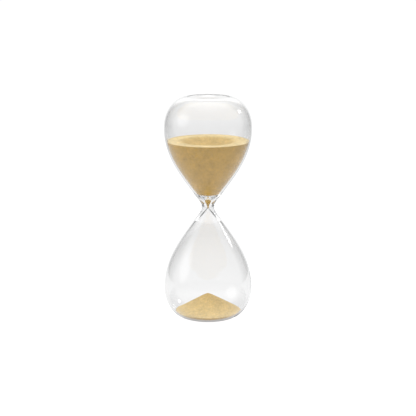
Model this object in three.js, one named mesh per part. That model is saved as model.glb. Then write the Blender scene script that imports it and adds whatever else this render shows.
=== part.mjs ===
// A frameless blown-glass sand timer, in millimetres, standing on its lower bulb with +Z up.
//
// Two pear-shaped bulbs of borosilicate glass meet at a thick fused throat with a fine bore. Sand
// drains from the upper bulb through the bore and heaps up in the lower one. The sand went in
// through a small hole in the lower bulb's foot, which a button of molten glass then closed.
//
// Every piece is turned about the Z axis. An outline is drawn once, as radius against distance
// from the throat plane, and then stood above or below that plane.

import * as THREE from 'three';

// Driving dimensions.
const HEIGHT = 200;
const THROAT_Z = 101; // the lower bulb is 2 mm longer than the upper one
const BULB_R = 39.1;
const WALL = 1.3; // at the equator; the glass thickens towards the throat
const FOOT_WALL = 1.2;
const SEGMENTS = 32; // a multiple of four, so that the box is centred on the axis

// Throat: a waist, with shoulders that flare out to the bulbs at the joint planes.
const JOINT_AT = 12.6;
const JOINT_OUTER_R = 12.75;
const JOINT_INNER_R = 10.6;
const WAIST_R = 5.4;
const BORE_R = 0.62;
const BORE_HALF = 0.5;

// Bulb: the flank widens from the joint to the equator, and a rounder cap closes it to the foot.
const EQUATOR_SHARE = 0.729; // of the bulb's length, counted from the throat plane
const FLANK_SLOPE = 0.71;
const INNER_FLANK_SLOPE = 0.76;
const FOOT_R = 18;
const FLOOR_R = 17.2; // the level part of the inside, over the foot
const FOOT_RING_WIDTH = 5;
const KICK_UP = 0.8; // how far the middle of each foot is pushed in, so that it stands on its ring

// Filling hole in the lower foot, and the button of glass that closes it.
const HOLE_R = 2.5;
const SEAL_BULGE = 0.25; // the button stands out of the foot's dome, but not down to the table

// Sand. It follows the glass, with a small clearance.
const SAND_GAP = 0.3;
const SAND_LEVEL_Z = 160.8;
const CRATER_SHARE = 0.66; // of the surface radius; outside it the sand is level
const CRATER_DEPTH = 11;
const HEAP_APEX_Z = 21.7;
const HEAP_RIM_Z = 6;
const HEAP_ROUNDING = 0.8; // what the soft tip of the heap loses against a sharp cone

const ABOVE = 1;
const BELOW = -1;

function clearGlass() {
  return new THREE.MeshStandardMaterial({
    color: 0xeef2f4,
    roughness: 0.02,
    metalness: 0,
    transparent: true,
    opacity: 0.35,
  });
}

function goldenSand() {
  return new THREE.MeshStandardMaterial({ color: 0xc9a876, roughness: 0.95, metalness: 0 });
}

function point(radius, along) {
  return new THREE.Vector2(radius, along);
}

function curve(start, startHandle, endHandle, end, steps) {
  return new THREE.CubicBezierCurve(start, startHandle, endHandle, end).getPoints(steps);
}

// Puts stretches of outline one after the other, and drops a point that repeats the last one.
function joined(...stretches) {
  const points = [];
  for (const next of stretches.flat()) {
    const last = points[points.length - 1];
    if (!last || last.distanceTo(next) > 1e-6) {
      points.push(next);
    }
  }
  return points;
}

// Turns an outline that runs counter-clockwise above the throat plane into a solid. Below the
// plane the outline is mirrored, so it is walked backwards to keep its faces pointing out.
function turned(name, outline, side, material) {
  const profile = outline.map((p) => point(p.x, THROAT_Z + side * p.y));
  if (side === BELOW) {
    profile.reverse();
  }
  const geometry = new THREE.LatheGeometry(profile, SEGMENTS);
  geometry.rotateX(Math.PI / 2);
  const mesh = new THREE.Mesh(geometry, material);
  mesh.name = name;
  return mesh;
}

function outerFlank(length) {
  const equator = EQUATOR_SHARE * length;
  return curve(
    point(JOINT_OUTER_R, JOINT_AT),
    point(JOINT_OUTER_R + 17 * FLANK_SLOPE, JOINT_AT + 17),
    point(BULB_R, equator - 25.5),
    point(BULB_R, equator),
    14,
  );
}

function outerCap(length) {
  const equator = EQUATOR_SHARE * length;
  return curve(
    point(BULB_R, equator),
    point(BULB_R, equator + 14.3),
    point(FOOT_R + 12.5, length),
    point(FOOT_R, length),
    9,
  );
}

function innerFlank(length) {
  const equator = EQUATOR_SHARE * length;
  return curve(
    point(JOINT_INNER_R, JOINT_AT),
    point(JOINT_INNER_R + 17 * INNER_FLANK_SLOPE, JOINT_AT + 17),
    point(BULB_R - WALL, equator - 25),
    point(BULB_R - WALL, equator),
    14,
  );
}

function innerCap(length) {
  const equator = EQUATOR_SHARE * length;
  return curve(
    point(BULB_R - WALL, equator),
    point(BULB_R - WALL, equator + 13.9),
    point(FLOOR_R + 12.6, length - FOOT_WALL),
    point(FLOOR_R, length - FOOT_WALL),
    9,
  );
}

// The foot inside its edge, from edgeRadius to endRadius: a flat ring to stand on, then a shallow
// dome pushed in towards the throat. The same curve, a wall's thickness higher, is the floor.
function foot(length, edgeRadius, endRadius) {
  const ringInner = FOOT_R - FOOT_RING_WIDTH;
  const dome = (radius) => KICK_UP * (1 - (radius / ringInner) ** 2);
  const points = [point(edgeRadius, length), point(ringInner, length)];
  for (const share of [0.7, 0.35, 0]) {
    const radius = endRadius + share * (ringInner - endRadius);
    points.push(point(radius, length - dome(radius)));
  }
  return points;
}

// The whole outside of a bulb from the joint to endRadius on the foot, and the inside likewise.
function bulbOutside(length, endRadius) {
  return joined(outerFlank(length), outerCap(length), foot(length, FOOT_R, endRadius));
}

function bulbInside(length, endRadius) {
  return joined(innerFlank(length), innerCap(length), foot(length - FOOT_WALL, FLOOR_R, endRadius));
}

function bulb(name, length, holeRadius, side) {
  const outside = bulbOutside(length, holeRadius);
  const inside = bulbInside(length, holeRadius).reverse();
  const outline = joined(inside, outside);
  if (holeRadius > 0) {
    outline.push(outline[0].clone());
  }
  return turned(name, outline, side, clearGlass());
}

function waistOutside() {
  return curve(
    point(WAIST_R, 0),
    point(WAIST_R, 3.9),
    point(JOINT_OUTER_R - 6.4 * FLANK_SLOPE, JOINT_AT - 6.4),
    point(JOINT_OUTER_R, JOINT_AT),
    8,
  );
}

// The upper funnel: a narrow cone up from the bore, opening into the round bottom of the bulb.
function upperFunnel() {
  return curve(
    point(BORE_R, BORE_HALF),
    point(2.7, 8.6),
    point(5.8, 9.4),
    point(JOINT_INNER_R, JOINT_AT),
    9,
  );
}

// The lower funnel flares sooner, with a more even wall.
function lowerFunnel() {
  return curve(
    point(BORE_R, BORE_HALF),
    point(1.2, 3),
    point(4.8, 7.6),
    point(JOINT_INNER_R, JOINT_AT),
    9,
  );
}

function mirrored(points) {
  return points.map((p) => point(p.x, -p.y)).reverse();
}

function throat() {
  const outside = joined(mirrored(waistOutside()), waistOutside());
  const inside = joined(mirrored(lowerFunnel()), upperFunnel()).reverse();
  const outline = joined(outside, inside);
  outline.push(outline[0].clone());
  return turned('throat', outline, ABOVE, clearGlass());
}

// A button of glass in the filling hole, flush with the inner floor and clear of the table.
function fillHoleSeal() {
  const domeRise = KICK_UP * (1 - (HOLE_R / (FOOT_R - FOOT_RING_WIDTH)) ** 2);
  const outer = THROAT_Z - domeRise;
  const inner = outer - FOOT_WALL;
  const outline = [
    point(0, inner),
    point(HOLE_R, inner),
    point(HOLE_R, outer),
    point(0.6 * HOLE_R, outer + 0.8 * SEAL_BULGE),
    point(0, outer + SEAL_BULGE),
  ];
  return turned('fill_hole_seal', outline, BELOW, clearGlass());
}

// The inner surface of the glass, moved towards the axis by the sand's clearance.
function sandSkin(surface) {
  return surface.map((p, i) => {
    const before = surface[Math.max(i - 1, 0)];
    const after = surface[Math.min(i + 1, surface.length - 1)];
    const direction = after.clone().sub(before).normalize();
    const inward = p.x === 0 ? 0 : SAND_GAP * direction.y;
    return point(p.x - inward, p.y + SAND_GAP * direction.x);
  });
}

// The point where a skin crosses a given distance from the throat plane.
function crossing(skin, along) {
  const i = skin.findIndex((p, n) => n > 0 && (p.y - along) * (skin[n - 1].y - along) <= 0);
  const share = (along - skin[i - 1].y) / (skin[i].y - skin[i - 1].y);
  return skin[i - 1].clone().lerp(skin[i], share);
}

// Sand in the upper bulb: it fills the funnel to just above the bore. Its top is level near the
// glass and falls into a crater in the middle, where it drains.
function upperSand() {
  const level = SAND_LEVEL_Z - THROAT_Z;
  const glass = joined(upperFunnel(), innerFlank(HEIGHT - THROAT_Z));
  const skin = sandSkin(glass);
  const rim = crossing(skin, level);
  const wall = skin.filter((p) => p.y < level);
  const crest = CRATER_SHARE * rim.x;
  const top = curve(
    point(crest, level),
    point(0.85 * crest, level),
    point(0.3 * crest, level - CRATER_DEPTH),
    point(0, level - CRATER_DEPTH),
    8,
  );
  const outline = joined([point(0, wall[0].y)], wall, [rim], top);
  return turned('upper_sand', outline, ABOVE, goldenSand());
}

// Sand in the lower bulb: a cone at the angle of repose with a rounded tip, on the curved floor.
function lowerSand() {
  const rimAt = THROAT_Z - HEAP_RIM_Z;
  const apexAt = THROAT_Z - HEAP_APEX_Z;
  const sharpTip = point(0, apexAt - HEAP_ROUNDING);
  const skin = sandSkin(bulbInside(THROAT_Z, 0));
  const rim = crossing(skin, rimAt);
  const wall = skin.filter((p) => p.y > rimAt);
  const tipEnd = sharpTip.clone().lerp(rim, 0.15);
  const tipHandle = point(0.4 * tipEnd.x, apexAt);
  const tip = curve(point(0, apexAt), tipHandle, sharpTip.clone().lerp(rim, 0.08), tipEnd, 4);
  const flank = [0.4, 0.7, 1].map((share) => sharpTip.clone().lerp(rim, share));
  return turned('lower_sand', joined(tip, flank, wall), BELOW, goldenSand());
}

const hourglass = new THREE.Group();
hourglass.add(
  bulb('upper_bulb', HEIGHT - THROAT_Z, 0, ABOVE),
  throat(),
  bulb('lower_bulb', THROAT_Z, HOLE_R, BELOW),
  fillHoleSeal(),
  upperSand(),
  lowerSand(),
);

export default hourglass;
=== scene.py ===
import math

import bpy
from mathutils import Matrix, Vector, noise


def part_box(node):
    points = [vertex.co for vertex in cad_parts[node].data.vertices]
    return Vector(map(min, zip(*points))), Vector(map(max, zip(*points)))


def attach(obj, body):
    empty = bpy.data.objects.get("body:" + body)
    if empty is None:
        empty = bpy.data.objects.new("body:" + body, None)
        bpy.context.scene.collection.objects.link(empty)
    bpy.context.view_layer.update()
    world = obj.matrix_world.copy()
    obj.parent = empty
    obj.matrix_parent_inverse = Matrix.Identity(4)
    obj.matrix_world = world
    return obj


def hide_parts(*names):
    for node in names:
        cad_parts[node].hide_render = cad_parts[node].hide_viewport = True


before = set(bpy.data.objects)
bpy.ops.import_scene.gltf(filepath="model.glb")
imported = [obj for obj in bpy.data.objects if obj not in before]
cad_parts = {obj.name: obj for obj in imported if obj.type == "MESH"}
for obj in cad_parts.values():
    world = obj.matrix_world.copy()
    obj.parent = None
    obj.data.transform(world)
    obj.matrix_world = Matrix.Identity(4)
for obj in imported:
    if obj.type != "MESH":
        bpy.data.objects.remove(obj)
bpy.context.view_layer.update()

# A frameless blown-glass sand timer. The glass is one fused body, as on the real object, so it is
# one piece here that stands for the bulbs, the throat and the seal. The sand is two pieces.
# Everything is turned about Z. An outline is a list of (radius, distance from the throat plane),
# in metres, running from the throat to the foot.

MM = 0.001
ABOVE, BELOW = 1, -1  # the two sides of the throat plane
TINY = 1e-7

# Places that the frame gives.
THROAT_LOW, THROAT_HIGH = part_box("throat")
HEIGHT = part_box("upper_bulb")[1].z
THROAT_Z = (THROAT_LOW.z + THROAT_HIGH.z) / 2
JOINT_AT = (THROAT_HIGH.z - THROAT_LOW.z) / 2
JOINT_OUTER_R = THROAT_HIGH.x
BULB_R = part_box("lower_bulb")[1].x
SAND_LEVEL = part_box("upper_sand")[1].z - THROAT_Z
HEAP_APEX = THROAT_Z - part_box("lower_sand")[1].z

# The glass, as the CAD outlines have it.
WALL = 1.3 * MM
FOOT_WALL = 1.2 * MM
JOINT_INNER_R = 10.6 * MM
WAIST_R = 5.4 * MM
BORE_R = 0.62 * MM
BORE_HALF = 0.5 * MM
EQUATOR_SHARE = 0.729  # of the way from the throat plane to the foot
FOOT_R = 18 * MM
FLOOR_R = 17.2 * MM
FOOT_RING_WIDTH = 5 * MM
KICK_UP = 0.8 * MM
KICK_UP_CURVE = 1.5

# How far the handles of the outlines' curves reach, and how fast the radius grows at the joint.
WAIST_HANDLE = 3.9 * MM
WAIST_TO_JOINT_HANDLE = 6.4 * MM
FLANK_HANDLE = 17 * MM
OUTER_SLOPE, INNER_SLOPE = 0.71, 0.76
# Below the equator, above it, and out from the edge of the foot.
OUTER_HANDLES = (25.5 * MM, 14.3 * MM, 12.5 * MM)
INNER_HANDLES = (25 * MM, 13.9 * MM, 12.6 * MM)
# The two points that shape a funnel between the bore and the joint. The lower one flares sooner.
UPPER_FUNNEL = ((2.7 * MM, 8.6 * MM), (5.8 * MM, 9.4 * MM))
LOWER_FUNNEL = ((1.2 * MM, 3 * MM), (4.8 * MM, 7.6 * MM))

# How far hand-blown glass strays from a true turned shape, and over what lengths.
STRAY = 0.09 * MM
STRAY_ACROSS, STRAY_ALONG = 30 * MM, 45 * MM
FOOT_CALM, BORE_CALM = 6 * MM, 4 * MM
OUTER_SEED, CAVITY_SEED = 0, 7

# The sand.
AIR_GAP = 0.07 * MM  # grains touch glass at points only, so a film of air lies between
HEAP_RIM = THROAT_Z - 6 * MM
HEAP_ROUNDING = 0.8 * MM
TIP_REACH = 1.8 * MM  # how far the sand's tip hangs below the throat plane
TIP_SHOULDER = (0.6, 0.8)  # where the tip turns in: shares of the bore's radius and of the reach
CRATER_SHARE = 0.66  # of the surface radius; outside it the sand is level
CRATER_SLOPE = math.tan(math.radians(28))  # the slope that the sand rests at here
CRATER_ROUNDING = 1.5 * MM
UPPER_RIM_CALM, HEAP_RIM_CALM, HEAP_TIP_CALM = 3 * MM, 4 * MM, 5 * MM
# Points of the glass's outline nearer to a sand rim than this are left out of the sand's.
UPPER_RIM_SPACE, HEAP_RIM_SPACE = 0.2 * MM, 0.1 * MM
# Roughness of a sand surface: height, size of the bumps, and where the noise is read.
UPPER_SWELL = (0.22 * MM, 9 * MM, 3.1)
UPPER_RIPPLE = (0.07 * MM, 1.6 * MM, 8.4)
HEAP_RIPPLE = (0.06 * MM, 1.6 * MM, 5.7)
RELIEF_FALL, RELIEF_STEP, RELIEF_OCTAVES = 0.8, 2.0, 4
TONGUE_HEIGHT, TONGUE_LENGTH, TONGUE_SPREAD = 0.5 * MM, 50 * MM, 2.2

# How much painted light the free sand surface gets: painted shade in the crater, and painted
# light rising from the middle of the heap, which stays darker, to its rim.
CRATER_SHADE_OUTSIDE_CREST, CRATER_SHADE_FADE, CRATER_SHADE_DROP = 4 * MM, 7 * MM, 0.6
HEAP_MIDDLE_LIGHT, HEAP_RIM_EXTRA_LIGHT = 0.2, 0.5

# How finely things are cut.
WAIST_STEPS, FUNNEL_STEPS, FLANK_STEPS, CAP_STEPS = 36, 40, 64, 44
FOOT_RING_STEPS, KICK_UP_STEPS = 5, 14
GLASS_SEGMENTS, SAND_SEGMENTS, TABLE_SEGMENTS = 128, 144, 128
UPPER_SAND_RINGS, HEAP_RINGS = 56, 48


def bezier(start, start_handle, end_handle, end, steps):
    points = []
    for i in range(steps + 1):
        t = i / steps
        weights = ((1 - t) ** 3, 3 * (1 - t) ** 2 * t, 3 * (1 - t) * t**2, t**3)
        corners = (start, start_handle, end_handle, end)
        points.append(tuple(sum(w * c[k] for w, c in zip(weights, corners)) for k in (0, 1)))
    return points


def joined(*stretches):
    """Stretches of outline one after the other, without the points that repeat."""
    points = []
    for p in (p for stretch in stretches for p in stretch):
        if not points or math.dist(points[-1], p) > TINY:
            points.append(p)
    return points


def clamped(value):
    return min(1, max(0, value))


# ---------------------------------------------------------------- outlines of the glass


def foot(edge, end):
    """The flat ring that the timer stands on, and the shallow dome pushed in inside it."""
    ring_inner = FOOT_R - FOOT_RING_WIDTH
    points = []
    for i in range(FOOT_RING_STEPS + 1):
        points.append((edge + (ring_inner - edge) * i / FOOT_RING_STEPS, end))
    for i in range(1, KICK_UP_STEPS + 1):
        radius = ring_inner * (1 - i / KICK_UP_STEPS)
        rise = KICK_UP * (1 - (radius / ring_inner) ** 2) ** KICK_UP_CURVE
        points.append((radius, end - rise))
    return points


def bulb(neck, slope, widest, equator, handles, edge, end):
    """Carries a neck on through the flank, the equator and the cap to the edge of the foot."""
    below, above, beside = handles
    joint_r, joint_at = neck[-1]
    flank = bezier(
        (joint_r, joint_at),
        (joint_r + FLANK_HANDLE * slope, joint_at + FLANK_HANDLE),
        (widest, equator - below),
        (widest, equator),
        FLANK_STEPS,
    )
    cap = bezier(
        (widest, equator),
        (widest, equator + above),
        (edge + beside, end),
        (edge, end),
        CAP_STEPS,
    )
    return joined(neck, flank, cap, foot(edge, end))


def outside(length):
    reach = WAIST_TO_JOINT_HANDLE
    waist = bezier(
        (WAIST_R, 0),
        (WAIST_R, WAIST_HANDLE),
        (JOINT_OUTER_R - reach * OUTER_SLOPE, JOINT_AT - reach),
        (JOINT_OUTER_R, JOINT_AT),
        WAIST_STEPS,
    )
    equator = EQUATOR_SHARE * length
    return bulb(waist, OUTER_SLOPE, BULB_R, equator, OUTER_HANDLES, FOOT_R, length)


def inside(funnel_handles, length):
    funnel = bezier(
        (BORE_R, BORE_HALF),
        *funnel_handles,
        (JOINT_INNER_R, JOINT_AT),
        FUNNEL_STEPS,
    )
    equator = EQUATOR_SHARE * length
    end = length - FOOT_WALL
    return bulb(funnel, INNER_SLOPE, BULB_R - WALL, equator, INNER_HANDLES, FLOOR_R, end)


def upper_inside():
    return inside(UPPER_FUNNEL, HEIGHT - THROAT_Z)


def lower_inside():
    return inside(LOWER_FUNNEL, THROAT_Z)


def skin(outline, gap):
    """An outline moved towards the axis and away from the glass by gap, square to the glass."""
    moved = []
    for i, (radius, along) in enumerate(outline):
        before, after = outline[max(i - 1, 0)], outline[min(i + 1, len(outline) - 1)]
        run = math.dist(before, after)
        across = ((after[1] - before[1]) / run, (after[0] - before[0]) / run)
        inward = gap * across[0] if radius > 0 else 0
        moved.append((radius - inward, along + gap * across[1]))
    return moved


def crossing(outline, along):
    """The point where an outline crosses a distance from the throat plane."""
    for a, b in zip(outline, outline[1:]):
        if (a[1] - along) * (b[1] - along) <= 0 and a[1] != b[1]:
            share = (along - a[1]) / (b[1] - a[1])
            return (a[0] + share * (b[0] - a[0]), along)


def stood_up(outline, side):
    """An outline as (radius, z), above or below the throat plane."""
    return [(radius, THROAT_Z + side * along) for radius, along in outline]


# ---------------------------------------------------------------- meshes


def ring_mesh(profile, segments, verts, faces):
    """Adds a surface turned about Z from (radius, z) points. Its faces look to the right of
    the profile's way, so a profile that goes up on its right side looks out."""
    rings = []
    for radius, z in profile:
        count = 1 if radius < TINY else segments
        first = len(verts)
        for i in range(count):
            turn = math.tau * i / segments
            verts.append((radius * math.cos(turn), radius * math.sin(turn), z))
        rings.append([first + i % count for i in range(segments)])
    for low, high in zip(rings, rings[1:]):
        for i in range(segments):
            j = (i + 1) % segments
            face = list(dict.fromkeys((low[i], low[j], high[j], high[i])))
            if len(face) > 2:
                faces.append(face)


def new_piece(name, verts, faces, material, smooth=True):
    mesh = bpy.data.meshes.new(name)
    mesh.from_pydata(verts, [], faces)
    mesh.update()
    mesh.polygons.foreach_set("use_smooth", [smooth] * len(mesh.polygons))
    mesh.materials.append(material)
    piece = bpy.data.objects.new(name, mesh)
    bpy.context.scene.collection.objects.link(piece)
    return piece


def unevenness(x, y, z, seed):
    """A smooth stray of blown glass at a point, from -1 to 1."""
    return noise.noise(Vector((x / STRAY_ACROSS, y / STRAY_ACROSS, z / STRAY_ALONG + seed)))


def blown(verts, seed):
    """Moves turned points in and out a little, but for the foot rings and the fine bore."""
    moved = []
    for x, y, z in verts:
        radius = math.hypot(x, y)
        from_ends = min(z, HEIGHT - z)
        free = min(1, from_ends / FOOT_CALM) * clamped((radius - BORE_R) / BORE_CALM)
        stray = STRAY * free * unevenness(x, y, z, seed)
        scale = 1 + stray / radius if radius > TINY else 1
        moved.append((x * scale, y * scale, z))
    return moved


def glass_surface(lower, upper, seed):
    """One whole surface of the glass, from the lower foot up to the upper one."""
    verts, faces = [], []
    profile = joined(stood_up(lower, BELOW)[::-1], stood_up(upper, ABOVE))
    ring_mesh(profile, GLASS_SEGMENTS, verts, faces)
    return blown(verts, seed), faces


def blown_glass(material):
    """The whole glass: the outer surface, and the sealed cavity's surface facing inwards."""
    outer = outside(THROAT_Z), outside(HEIGHT - THROAT_Z)
    verts, faces = glass_surface(*outer, OUTER_SEED)
    inner_verts, inner_faces = glass_surface(lower_inside(), upper_inside(), CAVITY_SEED)
    first = len(verts)
    cavity = [[first + v for v in reversed(face)] for face in inner_faces]
    return new_piece("blown_glass", verts + inner_verts, faces + cavity, material)


def relief(x, y, roughness):
    """How far uneven sand rises or falls at a point."""
    height, size, seed = roughness
    at = Vector((x / size, y / size, seed))
    return height * noise.fractal(at, RELIEF_FALL, RELIEF_STEP, RELIEF_OCTAVES)


def polar_top(rim_radius, rings, height_at):
    """Points of a sand surface from its middle out to just inside the rim, and their faces."""
    verts, faces = [(0, 0, height_at(0, 0))], []
    for k in range(1, rings):
        radius = rim_radius * k / rings
        for i in range(SAND_SEGMENTS):
            turn = math.tau * i / SAND_SEGMENTS
            x, y = radius * math.cos(turn), radius * math.sin(turn)
            verts.append((x, y, height_at(x, y)))
    for i in range(SAND_SEGMENTS):
        faces.append((0, 1 + i, 1 + (i + 1) % SAND_SEGMENTS))
    for k in range(rings - 2):
        low, high = 1 + k * SAND_SEGMENTS, 1 + (k + 1) * SAND_SEGMENTS
        for i in range(SAND_SEGMENTS):
            j = (i + 1) % SAND_SEGMENTS
            faces.append((low + i, high + i, high + j, low + j))
    return verts, faces


def sand_body(name, wall, top_rings, height_at, painted_light_at, material):
    """A sand piece: wall is its (radius, z) outline along the glass, from its lowest point on
    the axis up to the rim, and height_at gives its free surface, which meets the rim.
    painted_light_at gives the painted light on the free surface, from 0, shaded as against the
    glass, to 1, lit."""
    verts, faces = [], []
    ring_mesh(wall, SAND_SEGMENTS, verts, faces)
    verts = blown(verts, CAVITY_SEED)
    rim = len(verts) - SAND_SEGMENTS
    top_verts, top_faces = polar_top(wall[-1][0], top_rings, height_at)
    first = len(verts)
    verts += top_verts
    faces += [[first + v for v in face] for face in top_faces]
    last = len(verts) - SAND_SEGMENTS
    for i in range(SAND_SEGMENTS):
        j = (i + 1) % SAND_SEGMENTS
        faces.append((rim + i, rim + j, last + j, last + i))
    piece = new_piece(name, verts, faces, material)
    # Painted light: 0 gives the darker shaded sand colour and 1 the lighter lit colour; the sand
    # against the glass gets 0.
    painted_light = piece.data.attributes.new("painted_light", "FLOAT", "POINT")
    painted_light_values = [painted_light_at(x, y) for x, y, z in top_verts]
    painted_light.data.foreach_set("value", [0.0] * first + painted_light_values)
    return piece


def upper_sand(material):
    """Sand in the upper bulb, down through the bore. Its top is a level crest against the
    glass that falls into a crater."""
    glass = skin(upper_inside(), AIR_GAP)
    rim = crossing(glass, SAND_LEVEL)
    below = [p for p in glass if p[1] < SAND_LEVEL - UPPER_RIM_SPACE]
    bore = BORE_R - AIR_GAP
    shoulder = (TIP_SHOULDER[0] * bore, -TIP_SHOULDER[1] * TIP_REACH)
    tip = [(0, -TIP_REACH), shoulder, (bore, -BORE_HALF)]
    wall = stood_up(tip + below + [rim], ABOVE)
    crest = CRATER_SHARE * rim[0]

    def height_at(x, y):
        radius = math.hypot(x, y)
        inwards = crest - math.hypot(radius, 2 * CRATER_ROUNDING)
        dip = CRATER_SLOPE * (inwards + math.hypot(inwards, CRATER_ROUNDING)) / 2
        calm = min(1, (rim[0] - radius) / UPPER_RIM_CALM)
        rough = relief(x, y, UPPER_SWELL) + relief(x, y, UPPER_RIPPLE)
        return THROAT_Z + SAND_LEVEL - dip + calm * rough

    def painted_light_at(x, y):
        """The crater is painted darker than the crest: painted shade."""
        inwards = (crest + CRATER_SHADE_OUTSIDE_CREST - math.hypot(x, y)) / CRATER_SHADE_FADE
        return 1 - CRATER_SHADE_DROP * clamped(inwards)

    return sand_body("upper_sand_mass", wall, UPPER_SAND_RINGS, height_at, painted_light_at, material)


def lower_sand(material):
    """The heap in the lower bulb: a cone with a soft tip, and faint tongues where grains have
    slid."""
    glass = skin(lower_inside(), AIR_GAP)
    rim = crossing([p for p in glass if p[1] > EQUATOR_SHARE * THROAT_Z], HEAP_RIM)
    floor = [p for p in glass if p[1] > HEAP_RIM + HEAP_RIM_SPACE]
    wall = stood_up([rim] + floor, BELOW)[::-1]
    apex = THROAT_Z - HEAP_APEX + HEAP_ROUNDING
    rim_z = THROAT_Z - HEAP_RIM
    slope = (apex - rim_z) / rim[0]
    tip = HEAP_ROUNDING / slope

    def height_at(x, y):
        radius = math.hypot(x, y)
        soft = math.hypot(radius, tip) * slope
        soft -= (math.hypot(rim[0], tip) - rim[0]) * slope * (radius / rim[0])
        turn = math.atan2(y, x)
        around = (TONGUE_SPREAD * math.cos(turn), TONGUE_SPREAD * math.sin(turn))
        tongue = TONGUE_HEIGHT * noise.noise(Vector((*around, radius / TONGUE_LENGTH)))
        calm = min(1, (rim[0] - radius) / HEAP_RIM_CALM) * min(1, radius / HEAP_TIP_CALM)
        return apex - soft + calm * (tongue + relief(x, y, HEAP_RIPPLE))

    def painted_light_at(x, y):
        """Painted shade: the heap is darker in its middle and painted lighter out to its rim."""
        return HEAP_MIDDLE_LIGHT + HEAP_RIM_EXTRA_LIGHT * math.hypot(x, y) / rim[0]

    return sand_body("lower_sand_heap", wall, HEAP_RINGS, height_at, painted_light_at, material)


# ---------------------------------------------------------------- nodes and materials

GLASS_IOR = 1.474
GLASS_TINT = (0.80, 0.83, 0.86, 1)
GLASS_ABSORPTION = 12
# The sand's darker shaded colour, and a lighter lit copy that paints the light falling on its
# free surface.
SHADED_SAND = (0.56, 0.35, 0.075, 1)
LIT_SAND = (0.87, 0.68, 0.34, 1)
SAND_ROUGHNESS = 0.9
GRAIN_SIZE = 0.7 * MM
# Size and detail of the noise, then how it lightens or darkens the sand.
PATCHES = (9 * MM, 3, ((0.3, 0.88), (0.7, 1.06)))
MOTTLE = (2.5 * MM, 2, ((0.3, 0.91), (0.7, 1.06)))
GRAIN_TINTS = ((0.0, 0.80), (0.5, 1.0), (1.0, 1.18))
GRAIN_BUMP, GRAIN_BUMP_STRENGTH = 0.2 * MM, 0.5


def new_material(name):
    material = bpy.data.materials.new(name)
    material.use_nodes = True
    return material, material.node_tree, material.node_tree.nodes["Principled BSDF"]


def grey(level):
    return (level, level, level, 1)


def mixed(tree, factor, a, b, blend="MIX"):
    """A colour mix of a and b, each a colour or a socket, by a number or a socket."""
    node = tree.nodes.new("ShaderNodeMix")
    node.data_type = "RGBA"
    node.blend_type = blend
    for socket, value in ((node.inputs[0], factor), (node.inputs[6], a), (node.inputs[7], b)):
        if isinstance(value, bpy.types.NodeSocket):
            tree.links.new(value, socket)
        else:
            socket.default_value = value
    return node.outputs[2]


def ramp(tree, factor, stops):
    """Greys by a factor, from (position, grey) stops."""
    node = tree.nodes.new("ShaderNodeValToRGB")
    elements = node.color_ramp.elements
    while len(elements) < len(stops):
        elements.new(0.5)
    for element, (position, value) in zip(elements, stops):
        element.position = position
        element.color = grey(value)
    tree.links.new(factor, node.inputs["Fac"])
    return node.outputs["Color"]


def speckled(tree, place, base, speckle):
    """A colour made lighter and darker in places by noise."""
    size, detail, stops = speckle
    node = tree.nodes.new("ShaderNodeTexNoise")
    node.inputs["Scale"].default_value = 1 / size
    node.inputs["Detail"].default_value = detail
    tree.links.new(place, node.inputs["Vector"])
    return mixed(tree, 1.0, base, ramp(tree, node.outputs["Fac"], stops), "MULTIPLY")


def clear_glass():
    """Borosilicate glass, with the faint grey that its thickness gives it."""
    material, tree, glass = new_material("clear_glass")
    glass.inputs["Base Color"].default_value = grey(1.0)
    glass.inputs["Roughness"].default_value = 0
    glass.inputs["IOR"].default_value = GLASS_IOR
    glass.inputs["Transmission Weight"].default_value = 1
    absorption = tree.nodes.new("ShaderNodeVolumeAbsorption")
    absorption.inputs["Color"].default_value = GLASS_TINT
    absorption.inputs["Density"].default_value = GLASS_ABSORPTION
    output = tree.nodes["Material Output"]
    tree.links.new(absorption.outputs["Volume"], output.inputs["Volume"])
    return material


def golden_sand():
    """Fine golden sand: grains of several tints and faint patches. Its colour is painted light:
    a darker, warmer shaded colour against the glass, and a lighter lit colour on the free
    surface."""
    material, tree, sand = new_material("golden_sand")
    place = tree.nodes.new("ShaderNodeTexCoord").outputs["Object"]
    painted_light = tree.nodes.new("ShaderNodeAttribute")
    painted_light.attribute_name = "painted_light"
    base = mixed(tree, painted_light.outputs["Fac"], SHADED_SAND, LIT_SAND)
    base = speckled(tree, place, base, PATCHES)
    base = speckled(tree, place, base, MOTTLE)
    grains = tree.nodes.new("ShaderNodeTexVoronoi")
    grains.inputs["Scale"].default_value = 1 / GRAIN_SIZE
    tree.links.new(place, grains.inputs["Vector"])
    tints = ramp(tree, grains.outputs["Color"], GRAIN_TINTS)
    base = mixed(tree, 1.0, base, tints, "MULTIPLY")
    tree.links.new(base, sand.inputs["Base Color"])
    sand.inputs["Roughness"].default_value = SAND_ROUGHNESS
    bump = tree.nodes.new("ShaderNodeBump")
    bump.inputs["Strength"].default_value = GRAIN_BUMP_STRENGTH
    bump.inputs["Distance"].default_value = GRAIN_BUMP
    tree.links.new(grains.outputs["Distance"], bump.inputs["Height"])
    tree.links.new(bump.outputs["Normal"], sand.inputs["Normal"])
    return material


# ---------------------------------------------------------------- stage, light and camera

# How bright the studio is, by elevation in degrees, in three sectors of azimuth: the backdrop
# behind the timer, a darker band on each side of the backdrop that draws the glass's edges, and
# the rest of the room, which is the sides and the camera's side.
BACKDROP = (
    (-90, 0.68),
    (-11.5, 0.7),
    (-8, 0.88),
    (-3, 0.94),
    (14, 0.94),
    (18, 1.4),
    (30, 1.4),
    (36, 0.6),
    (60, 1.5),
    (90, 1.7),
)
DARK_BAND = (
    (-90, 0.64),
    (-12, 0.6),
    (-6, 0.26),
    (0, 0.17),
    (20, 0.09),
    (40, 0.25),
    (60, 1.5),
    (90, 1.7),
)
ROOM = ((-90, 0.64), (-12, 0.62), (0, 0.7), (20, 0.85), (60, 1.2), (90, 1.7))
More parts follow.
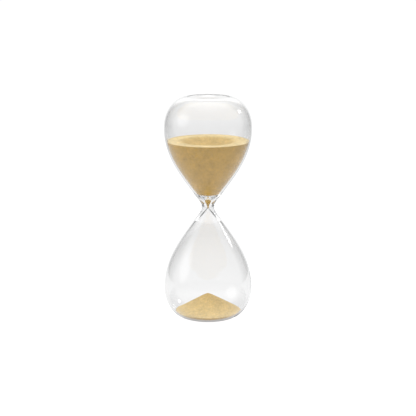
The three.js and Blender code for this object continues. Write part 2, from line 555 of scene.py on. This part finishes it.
# Where a sector fades in, as cosines of the angle away from straight behind the timer.
BAND_FADE = (0.15, 0.45)
BACKDROP_FADE = (0.80, 0.98)
# Azimuth, elevation, inner and outer angle in degrees, and brightness.
SOFTBOXES = ((118, 27, 1, 6, 7.0), (-76, 21, 2, 24, 1.2))
WHITE_SURROUND = grey(1.05)

TABLE_R = 0.5
TABLE_THICKNESS = 20 * MM
TABLE_GREY = grey(0.12)
WHITE_TABLE = grey(1.0)
# Distance from the timer's axis in metres, and how brightly the table glows there: a painted pool
# of light, dimmed at the foot as a painted contact shadow.
TABLE_GLOW_AND_PAINTED_SHADOW = ((FOOT_R, 0.25), (0.034, 0.74), (0.08, 0.82), (0.16, 0.78), (0.4, 0.66))

CAMERA_AWAY = 1.53
CAMERA_UP = 0.405
AIM_Z = 0.0999
SENSOR_MM = 36
LENS_MM = 151
VIEW_END = 50
LIGHT_BOUNCES = 64  # fewer lose light that runs around inside the glass


def fade(tree, value, start, end, top=1.0):
    """From 0 to top with soft ends, as a value goes from start to end."""
    node = tree.nodes.new("ShaderNodeMapRange")
    node.interpolation_type = "SMOOTHSTEP"
    node.inputs["From Min"].default_value = start
    node.inputs["From Max"].default_value = end
    node.inputs["To Max"].default_value = top
    tree.links.new(value, node.inputs["Value"])
    return node.outputs["Result"]


def vector_math(tree, operation, vector, other=None):
    node = tree.nodes.new("ShaderNodeVectorMath")
    node.operation = operation
    tree.links.new(vector, node.inputs[0])
    if other:
        node.inputs[1].default_value = other
    return node.outputs


def component(tree, vector, axis):
    split = tree.nodes.new("ShaderNodeSeparateXYZ")
    tree.links.new(vector, split.inputs[0])
    return split.outputs[axis]


def by_elevation(tree, direction, levels):
    """Brightness by elevation, from (degrees, brightness) levels."""
    height = tree.nodes.new("ShaderNodeMapRange")
    height.inputs["From Min"].default_value = -1
    tree.links.new(component(tree, direction, "Z"), height.inputs["Value"])
    stops = [((math.sin(math.radians(e)) + 1) / 2, v) for e, v in levels]
    return ramp(tree, height.outputs["Result"], stops)


def softbox(tree, direction, azimuth, elevation, inner, outer, brightness):
    """A round light with soft edges in the world. Azimuth 0 is the camera's side and 90 is +X,
    and inner and outer are the angles from its middle where it starts to fade and ends."""
    turn, rise = math.radians(azimuth), math.radians(elevation)
    level = math.cos(rise)
    middle = (math.sin(turn) * level, -math.cos(turn) * level, math.sin(rise))
    facing = vector_math(tree, "DOT_PRODUCT", direction, middle)["Value"]
    edge, full = math.cos(math.radians(outer)), math.cos(math.radians(inner))
    return fade(tree, facing, edge, full, brightness)


def white_to_camera(tree, colour, white):
    """A plain white for the camera's own rays, and a colour for every other ray."""
    eye = tree.nodes.new("ShaderNodeLightPath").outputs["Is Camera Ray"]
    return mixed(tree, eye, colour, white)


def surround():
    """The world. It holds the studio that the glass reflects and bends, and all the light but
    the table's glow."""
    world = bpy.data.worlds.new("studio")
    bpy.context.scene.world = world
    world.use_nodes = True
    tree = world.node_tree
    direction = tree.nodes.new("ShaderNodeTexCoord").outputs["Generated"]
    level = vector_math(tree, "MULTIPLY", direction, (1, 1, 0))["Vector"]
    heading = vector_math(tree, "NORMALIZE", level)["Vector"]
    behind = component(tree, heading, "Y")
    studio = by_elevation(tree, direction, ROOM)
    for levels, ends in ((DARK_BAND, BAND_FADE), (BACKDROP, BACKDROP_FADE)):
        sector = by_elevation(tree, direction, levels)
        studio = mixed(tree, fade(tree, behind, *ends), studio, sector)
    for light in SOFTBOXES:
        studio = mixed(tree, 1.0, studio, softbox(tree, direction, *light), "ADD")
    colour = white_to_camera(tree, studio, WHITE_SURROUND)
    tree.links.new(colour, tree.nodes["Background"].inputs["Color"])


def table():
    """A pale round table top under the timer, which glows to stand for the light it scatters,
    with a painted shadow dimming the glow at the foot.
    """
    material, tree, pale = new_material("pale_table")
    pale.inputs["Base Color"].default_value = TABLE_GREY
    pale.inputs["Roughness"].default_value = 1
    pale.inputs["Specular IOR Level"].default_value = 0
    place = tree.nodes.new("ShaderNodeTexCoord").outputs["Object"]
    # The glow paints a pool of light round the timer, with a painted contact shadow at its foot.
    glow = ramp(tree, vector_math(tree, "LENGTH", place)["Value"], TABLE_GLOW_AND_PAINTED_SHADOW)
    glow = white_to_camera(tree, glow, WHITE_TABLE)
    tree.links.new(glow, pale.inputs["Emission Color"])
    pale.inputs["Emission Strength"].default_value = 1.0
    under = -TABLE_THICKNESS
    verts, faces = [], []
    ring_mesh([(0, under), (TABLE_R, under), (TABLE_R, 0), (0, 0)], TABLE_SEGMENTS, verts, faces)
    new_piece("table_top", verts, faces, material, smooth=False)


def camera():
    """Looks a little down on the middle of the timer, from the -Y side."""
    data = bpy.data.cameras.new("camera")
    eye = bpy.data.objects.new("camera", data)
    bpy.context.scene.collection.objects.link(eye)
    eye.location = (0, -CAMERA_AWAY, CAMERA_UP)
    aim = Vector((0, 0, AIM_Z)) - eye.location
    eye.rotation_euler = aim.to_track_quat("-Z", "Y").to_euler()
    data.sensor_width = SENSOR_MM
    data.lens = LENS_MM
    data.clip_end = VIEW_END
    bpy.context.scene.camera = eye


def light_in_glass():
    """Sharp highlights, and enough bounces for light to find its way through the glass."""
    cycles = bpy.context.scene.cycles
    cycles.blur_glossy = 0
    cycles.max_bounces = LIGHT_BOUNCES
    cycles.glossy_bounces = LIGHT_BOUNCES
    cycles.transmission_bounces = LIGHT_BOUNCES


camera()
surround()
table()
light_in_glass()
bpy.context.scene.view_settings.view_transform = "Standard"

glass = blown_glass(clear_glass())
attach(glass, "root")
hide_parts("upper_bulb", "throat", "lower_bulb", "fill_hole_seal")

sand_material = golden_sand()
upper = upper_sand(sand_material)
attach(upper, "root")
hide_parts("upper_sand")

lower = lower_sand(sand_material)
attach(lower, "root")
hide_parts("lower_sand")
